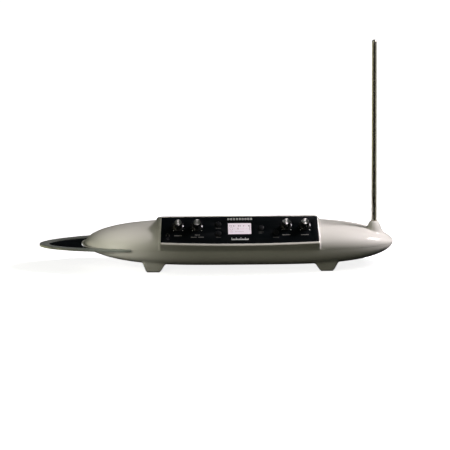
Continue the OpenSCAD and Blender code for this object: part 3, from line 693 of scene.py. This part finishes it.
give(upper, CASE)
give(lower, CASE)
cad("foot_pads", RUBBER)
cad(["case_screws", "board_screws", "loop_screws", "stand_screws", "control_nuts", "jack_nuts", "socket_nut"], STEEL)
cad("display_module", LCDFRAME)
cad(["front_board", "main_board", "coil_boards"], BOARD)
cad(["volume_shaft", "pitch_shaft", "preset_shaft", "effect_shaft"], SHAFT)
cad(["volume_pot", "pitch_pot", "preset_encoder", "effect_pot"], POT)
cad(["button_switches", "power_rocker", "switch_body"], BUTTON)
cad(["line_jack_left", "line_jack_right", "pitch_cv_jack", "power_inlet"], JACK)
cad(["headphone_jack", "usb_port"], NICKEL)
cad(["board_spacers", "rod_socket", "stand_socket"], BRASS)
cad("ribbon_cable", RIBBON)
cad(["speaker_grille", "speaker_frame", "rear_panel"] + [n for n in ("power_panel", "speaker_panel") if n in NODES], REAR)
cad("speaker_cone", PAPER)
cad("speaker_magnet", FERRITE)
cad(["loop_lead", "rod_lead"], LEAD)
cad("coil_formers", FORMER)
cad("coil_windings", COPPER)
cad("display_window", WINDOW)

# ---------------------------------------------------------------- control panel and its print
KNOBS = {"volume": (-123.9, 46.0), "pitch": (-85.9, 46.0), "preset": (94.0, 46.0), "effect": (131.6, 46.0)}
BUTTONS = {"button_upper_left": (-42.6, 51.3), "button_lower_left": (-42.6, 29.6), "button_setup": (43.3, 42.0), "button_scale": (73.5, 31.0)}
PHONES = (-145.0, 18.4)
LCD, LCD_W, LCD_H = (0.0, 40.6), 46.4, 25.6

panel = normals_out(prism("panel_face", panel_outline(-0.12, 2.6), -2.5, -0.5, face_pt))
for x, w in KNOBS.values():
    cut(panel, normals_out(lathe("c", [(0, -5), (3.6, -5), (3.6, 4), (0, 4)], 32, lambda a, b, c, x=x, w=w: face_pt(x + a, w + b, c))), solver="MANIFOLD")
for x, w in BUTTONS.values():
    cut(panel, normals_out(lathe("c", [(0, -5), (5.62, -5), (5.62, 4), (0, 4)], 40, lambda a, b, c, x=x, w=w: face_pt(x + a, w + b, c))), solver="MANIFOLD")
cut(panel, normals_out(lathe("c", [(0, -5), (3.1, -5), (3.1, 4), (0, 4)], 32, lambda a, b, c: face_pt(PHONES[0] + a, PHONES[1] + b, c))), solver="MANIFOLD")
cut(panel, normals_out(box("c", LCD[0] - LCD_W / 2 - 0.1, LCD[0] + LCD_W / 2 + 0.1, LCD[1] - LCD_H / 2 - 0.1, LCD[1] + LCD_H / 2 + 0.1, -5, 4, face_pt)), solver="MANIFOLD")
bevel(panel, 0.22, 2, 50)
smooth_by_angle(panel, 40)
put(panel, PANEL, "case", ["control_panel"])

def ink(name, polys, mat, z=-0.5, t=0.05):
    obs = [prism(name, p, z - 0.02, z + t, face_pt) for p in polys]
    ob = normals_out(join(name, obs))
    return put(ob, mat, "case")

def rect(x0, x1, w0, w1):
    return [(x0, w0), (x1, w0), (x1, w1), (x0, w1)]

def frame_rect(x0, x1, w0, w1, t):
    return [rect(x0, x1, w0, w0 + t), rect(x0, x1, w1 - t, w1), rect(x0, x0 + t, w0 + t, w1 - t), rect(x1 - t, x1, w0 + t, w1 - t)]

def tick(cx, cw, deg, r0, r1, t):
    a = math.radians(deg)
    d, e = (math.sin(a), math.cos(a)), (math.cos(a) * t / 2, -math.sin(a) * t / 2)
    return [(cx + d[0] * r0 - e[0], cw + d[1] * r0 - e[1]), (cx + d[0] * r0 + e[0], cw + d[1] * r0 + e[1]),
            (cx + d[0] * r1 + e[0], cw + d[1] * r1 + e[1]), (cx + d[0] * r1 - e[0], cw + d[1] * r1 - e[1])]

def dashes(x0, x1, w, h, count, fill=0.72):
    p = (x1 - x0) / count
    return [rect(x0 + p * i, x0 + p * (i + fill), w - h / 2, w + h / 2) for i in range(count)]

bright, mid, dim = [], [], []
# row of small open squares over the display
for i in range(9):
    cx = -22.0 + 5.72 * i
    bright += frame_rect(cx - 1.75, cx + 1.75, 60.9, 65.1, 0.85)
# ruler under the display
bright += [rect(-16.6, 17.4, 14.1, 15.1)]
for i in range(12):
    cx = -16.1 + 3.04 * i
    bright += [rect(cx - 0.45, cx + 0.45, 15.1, 19.6 if i % 3 == 0 else 17.4)]
for k, (x, w) in KNOBS.items():
    for d in (-135, 135):
        bright.append(tick(x, w, d, 11.9, 14.0, 1.0))
    for d in (-108, -81, -54, -27, 0, 27, 54, 81, 108):
        dim.append(tick(x, w, d, 12.1, 13.7, 0.6))
mid += dashes(-131.8, -115.7, 25.2, 2.4, 6, 0.75)
mid += dashes(-90.6, -80.0, 26.4, 1.5, 5, 0.8) + dashes(-98.5, -86.6, 21.3, 1.7, 6, 0.8) + dashes(-83.6, -72.0, 21.3, 1.7, 6, 0.8)
mid += dashes(85.6, 102.4, 25.3, 1.7, 8, 0.8) + dashes(123.4, 139.0, 25.1, 1.7, 8, 0.8)
dim += dashes(-47.8, -37.2, 41.8, 2.0, 5, 0.75) + dashes(-47.8, -37.2, 20.7, 2.0, 5, 0.75)
dim += dashes(38.4, 49.0, 32.4, 1.8, 4, 0.7) + dashes(38.4, 46.0, 29.4, 1.8, 3, 0.7)
dim += dashes(66.6, 79.6, 19.6, 2.0, 5, 0.75)
# headphone sign over its socket
hx, hw = PHONES[0], PHONES[1] + 8.6
arc = [(hx + 3.5 * math.cos(a), hw + 3.5 * math.sin(a)) for a in np.linspace(0, math.pi, 15)]
arc += [(hx + 2.8 * math.cos(a), hw + 2.8 * math.sin(a)) for a in np.linspace(math.pi, 0, 15)]
dim += [arc, rect(hx - 3.9, hx - 2.2, hw - 3.4, hw + 0.2), rect(hx + 2.2, hx + 3.9, hw - 3.4, hw + 0.2)]
ink("print_bright", bright, INK)
ink("print_grey", mid, INK_MID)
ink("print_dim", dim, INK_DIM)
# display marks
px = []
x0, w0 = LCD[0] - LCD_W / 2, LCD[1] - LCD_H / 2
for i, run in enumerate((1.5, 1.0, 1.5, 1.0, 0.0, 1.5, 1.5, 0.0, 1.0, 0.6, 0.0, 1.8)):
    if run:
        px.append(rect(x0 + 3.2 + 3.4 * i, x0 + 3.2 + 3.4 * i + run, w0 + 17.8, w0 + 20.6))
ring = [(x0 + 6.6 + 3.4 * math.cos(a), w0 + 12.6 + 3.6 * math.sin(a)) for a in np.linspace(0.0, 2 * math.pi, 29)]
ring += [(x0 + 6.6 + 2.9 * math.cos(a), w0 + 12.6 + 3.1 * math.sin(a)) for a in np.linspace(2 * math.pi, 0.0, 29)]
px += [ring[:29] + ring[29:]]
for i in range(10):
    px.append(rect(x0 + 13.0 + 3.0 * i, x0 + 13.6 + 3.0 * i, w0 + 11.5, w0 + 13.0))
px += [rect(x0 + 19.6, x0 + 20.6, w0 + 10.6, w0 + 15.4), rect(x0 + 43.2, x0 + 44.2, w0 + 8.6, w0 + 20.6)]
px += dashes(x0 + 14.0, x0 + 32.0, w0 + 5.6, 0.8, 7, 0.6) + [rect(x0 + 3.6, x0 + 10.4, w0 + 4.8, w0 + 5.5)]
marks = normals_out(join("display_marks", [prism("m", p, -0.62, -0.56, face_pt) for p in px]))
put(marks, PIXEL, "case")

# ---------------------------------------------------------------- knobs
def flute(r, depth):
    def f(a):
        t = (a / (2 * math.pi) * 9 + 0.25) % 1.0
        d = abs(t - 0.5) * 2
        return r - depth * max(0.0, 1 - (d / 0.62) ** 2) ** 0.9
    return f

def knob(name, x, w, turn):
    skirt = [(6.4, 0.3), (11.0, 0.3), (11.2, 0.5), (11.2, 1.45), (11.0, 1.75), (10.4, 1.95), (9.2, 2.7), (8.75, 3.1)]
    rows = [(r, z) for r, z in skirt]
    rows += [(flute(8.55, 0.25), 3.5), (flute(8.35, 1.0), 4.3), (flute(8.2, 1.05), 9.0), (flute(8.0, 1.05), 15.2),
             (flute(7.95, 0.75), 16.2), (flute(7.75, 0.3), 16.9), (7.5, 17.3), (7.2, 17.45), (6.95, 17.4), (6.85, 17.2)]
    body = levels(name + "_body", rows, 108, cap0=False, cap1=False)
    well = levels(name + "_well", [(6.4, 0.3), (6.3, 3.3), (3.02, 3.3), (3.02, 9.8)], 108, cap0=False, cap1=True)
    top = levels(name + "_top", [(6.85, 17.2), (6.8, 17.32), (6.5, 17.36), (4.4, 17.41), (2.2, 17.44), (0.4, 17.45)], 108, cap0=False, cap1=True)
    for o, m in ((body, KNOB), (well, KNOB), (top, CAP)):
        give(o, m)
    bm = bmesh.new()
    mats = [KNOB, CAP]
    me = bpy.data.meshes.new(name)
    for o, idx in ((body, 0), (well, 0), (top, 1)):
        n0 = len(bm.faces)
        bm.from_mesh(o.data)
        bm.faces.ensure_lookup_table()
        for f in bm.faces[n0:]:
            f.material_index = idx
        bpy.data.objects.remove(o)
    bmesh.ops.remove_doubles(bm, verts=bm.verts, dist=1e-6)
    bmesh.ops.recalc_face_normals(bm, faces=bm.faces)
    bad = sum(1 for e in bm.edges if len(e.link_faces) != 2)
    if bm.calc_volume(signed=True) < 0:
        bmesh.ops.reverse_faces(bm, faces=bm.faces)
    bm.to_mesh(me)
    bm.free()
    print(name, "open edges", bad)
    for m in mats:
        me.materials.append(m)
    ob = bpy.data.objects.new(name, me)
    scene.collection.objects.link(ob)
    smooth_by_angle(ob, 50)
    face_ob(ob, x, w, turn)
    return ob

TURNS = {"volume": math.radians(138), "pitch": math.radians(138), "preset": math.radians(84), "effect": math.radians(84)}
for k, (x, w) in KNOBS.items():
    ob = knob(k + "_knob_skin", x, w, TURNS[k])
    put(ob, None, k + "_knob", [k + "_knob"])
    ln = box(k + "_pointer", -0.42, 0.42, 2.6, 7.35, 17.36, 17.49)
    face_ob(ln, x, w, TURNS[k])
    put(normals_out(ln), INK, k + "_knob")

# ---------------------------------------------------------------- buttons
for b, (x, w) in BUTTONS.items():
    prof = [(0, -6.9), (1.8, -6.9), (1.8, -2.2), (4.6, -2.2), (4.6, 1.5), (4.45, 1.85), (4.1, 2.02), (2.6, 2.08), (0, 2.1)]
    cap = face_ob(lathe(b + "_cap", prof, 56), x, w)
    smooth_by_angle(cap, 40)
    put(cap, BUTTON, b, [b])
rings = []
for x, w in BUTTONS.values():
    prof = [(4.9, -2.5), (5.6, -2.5), (5.6, -0.5), (6.1, -0.5), (6.1, 0.05), (5.9, 0.32), (5.5, 0.4), (5.15, 0.36), (4.9, 0.15)]
    rings.append(lathe("b", prof, 64, lambda a, b, c, x=x, w=w: face_pt(x + a, w + b, c), closed=True))
bez = join("bezels", rings)
smooth_by_angle(bez, 40)
put(bez, BUTTON, "case", ["button_bezels"])

# ---------------------------------------------------------------- loop, infill, rod
ring = normals_out(prism("loop_plate", band_outline(0.0), 0.0, LOOP_T, loop_pt))
for sgn in (-1, 1):
    tab = normals_out(box("t", -197, -177, min(sgn * 38, sgn * 53), max(sgn * 38, sgn * 53), 0.0, LOOP_T, loop_pt))
    cut(ring, tab, op="UNION", solver="MANIFOLD")
for sgn in (-1, 1):
    cut(ring, drill("c", -185, sgn * 44, 40, 60, 1.6, 24), solver="MANIFOLD")
bevel(ring, 0.45, 3, 40)
smooth_by_angle(ring, 40)
put(ring, LOOP, "case", ["volume_loop"])
cad("loop_infill", INFILL)

prof = [(0, 61.0), (3.6, 61.0), (4.0, 61.4), (4.0, 90.9), (5.1, 90.9), (5.45, 91.3), (5.5, 92.0)]
prof += [(5.5 - 0.8 * t, 92.0 + 372.5 * t) for t in (0.1, 0.25, 0.5, 0.75, 0.92, 0.99)]
prof += [(4.7 * math.cos(a), 465.4 + 3.3 * math.sin(a)) for a in np.linspace(0.15, math.pi / 2 - 0.12, 9)] + [(0, 468.7)]
rod = lathe("rod_skin", prof, 64, lambda a, b, c: (ROD_X + a, b, c))
smooth_by_angle(rod, 40)
put(rod, ROD, "rod", ["antenna_rod"])

# ---------------------------------------------------------------- small details of the sockets
tongue = normals_out(box("usb_tongue", -16.6, -11.4, 66.0, 75.0, 49.2, 51.4))
bevel(tongue, 0.2, 2)
put(tongue, JACK, "case")
pin = lathe("power_pin", [(0, 65.5), (0.95, 65.5), (0.95, 74.2), (0.6, 75.0), (0, 75.2)], 24, lambda a, b, c: (-42.0 + a, c, 50.0 + b))
smooth_by_angle(pin, 40)
put(pin, NICKEL, "case")

# ---------------------------------------------------------------- floor, light and world
floor = mesh_ob("floor", [(-6000, -7000, 0), (6000, -7000, 0), (6000, 9000, 0), (-6000, 9000, 0)], [[0, 1, 2, 3]], smooth=False)
fm, fnt, fb = new_mat("floor")
fv = coords(fnt)
fcol = ramp(fnt, noise(fnt, fv, 0.7, 2.0), [(0.3, (0.93, 0.93, 0.93)), (0.7, (0.95, 0.95, 0.95))])
fnt.links.new(fcol, fb.inputs["Base Color"])
fnt.links.new(fcol, fb.inputs["Emission Color"])
fb.inputs["Emission Strength"].default_value = 0.9
fb.inputs["Roughness"].default_value = 0.9
give(floor, fm)
floor.visible_diffuse = False
floor.visible_glossy = False

def area(name, direction, dist, size, power, color, aim=(0.05, 0.0, 0.08), size_y=None):
    L = bpy.data.lights.new(name, "AREA")
    L.energy = power
    L.color = color
    L.size = size
    if size_y:
        L.shape = "RECTANGLE"
        L.size_y = size_y
    o = bpy.data.objects.new(name, L)
    scene.collection.objects.link(o)
    d = Vector(direction).normalized()
    o.location = Vector(aim) + d * dist
    o.rotation_euler = (-d).to_track_quat("-Z", "Y").to_euler()
    return o

RIGHT = (0.25, 0.0, 0.08)
area("key", (0.62, 0.02, 0.785), 1.2, 0.24, 16.2, (1.0, 0.93, 0.99), RIGHT)
area("left_low", (-0.54, -0.82, 0.10), 3.0, 0.4, 4.5, (1.0, 0.98, 0.84))
for soft in (area("key_side", (0.80, -0.16, 0.58), 1.2, 0.24, 2.4, (1.0, 0.93, 1.0), RIGHT),
             area("top", (0.35, -0.35, 0.87), 3.0, 0.8, 3.0, (1.0, 1.0, 0.92)),
             area("fill", (-0.50, -0.70, 0.50), 3.0, 1.0, 6.5, (1.0, 1.0, 0.76)),
             area("back", (0.05, 0.97, 0.20), 3.0, 1.4, 7.0, (1.0, 0.99, 0.96)),
             area("nose_card", (-0.40, -0.85, 0.32), 0.17, 0.08, 0.021, (1.0, 0.98, 0.9), (-0.205, -0.05, 0.06))):
    soft.visible_glossy = False
    soft.visible_camera = False
bpy.data.lights["nose_card"].spread = math.radians(60)
for card in (area("rod_card_left", (-0.94, 0.0, -0.27), 1.0, 0.7, 1.5, (1.0, 0.94, 0.62), (0.318, 0.0, 0.26)),
             area("rod_card_right", (0.97, 0.0, -0.27), 1.0, 0.5, 0.8, (1.0, 0.98, 0.78), (0.318, 0.0, 0.26))):

    card.visible_diffuse = False
    card.visible_camera = False

world = bpy.data.worlds.new("studio")
scene.world = world
world.use_nodes = True
wnt = world.node_tree
bg = wnt.nodes["Background"]
wtc = wnt.nodes.new("ShaderNodeTexCoord")
sep = wnt.nodes.new("ShaderNodeSeparateXYZ")
wnt.links.new(wtc.outputs["Generated"], sep.inputs["Vector"])
wr = wnt.nodes.new("ShaderNodeValToRGB")
wnt.links.new(sep.outputs["Z"], wr.inputs["Fac"])
els = wr.color_ramp.elements
while len(els) < 6:
    els.new(0.5)
for e, (p_, c_) in zip(els, [(0.0, (0.0, 0.0, 0.0)), (0.1, (0.028, 0.029, 0.023)), (0.4, (0.05, 0.051, 0.043)), (0.8, (0.05, 0.051, 0.046)), (0.93, (0.01, 0.012, 0.014)), (1.0, (0.004, 0.005, 0.006))]):
    e.position = p_
    e.color = (*c_, 1)
wnt.links.new(wr.outputs["Color"], bg.inputs["Color"])
bg.inputs["Strength"].default_value = 1.0
scene.view_settings.view_transform = "Standard"
scene.view_settings.look = "None"
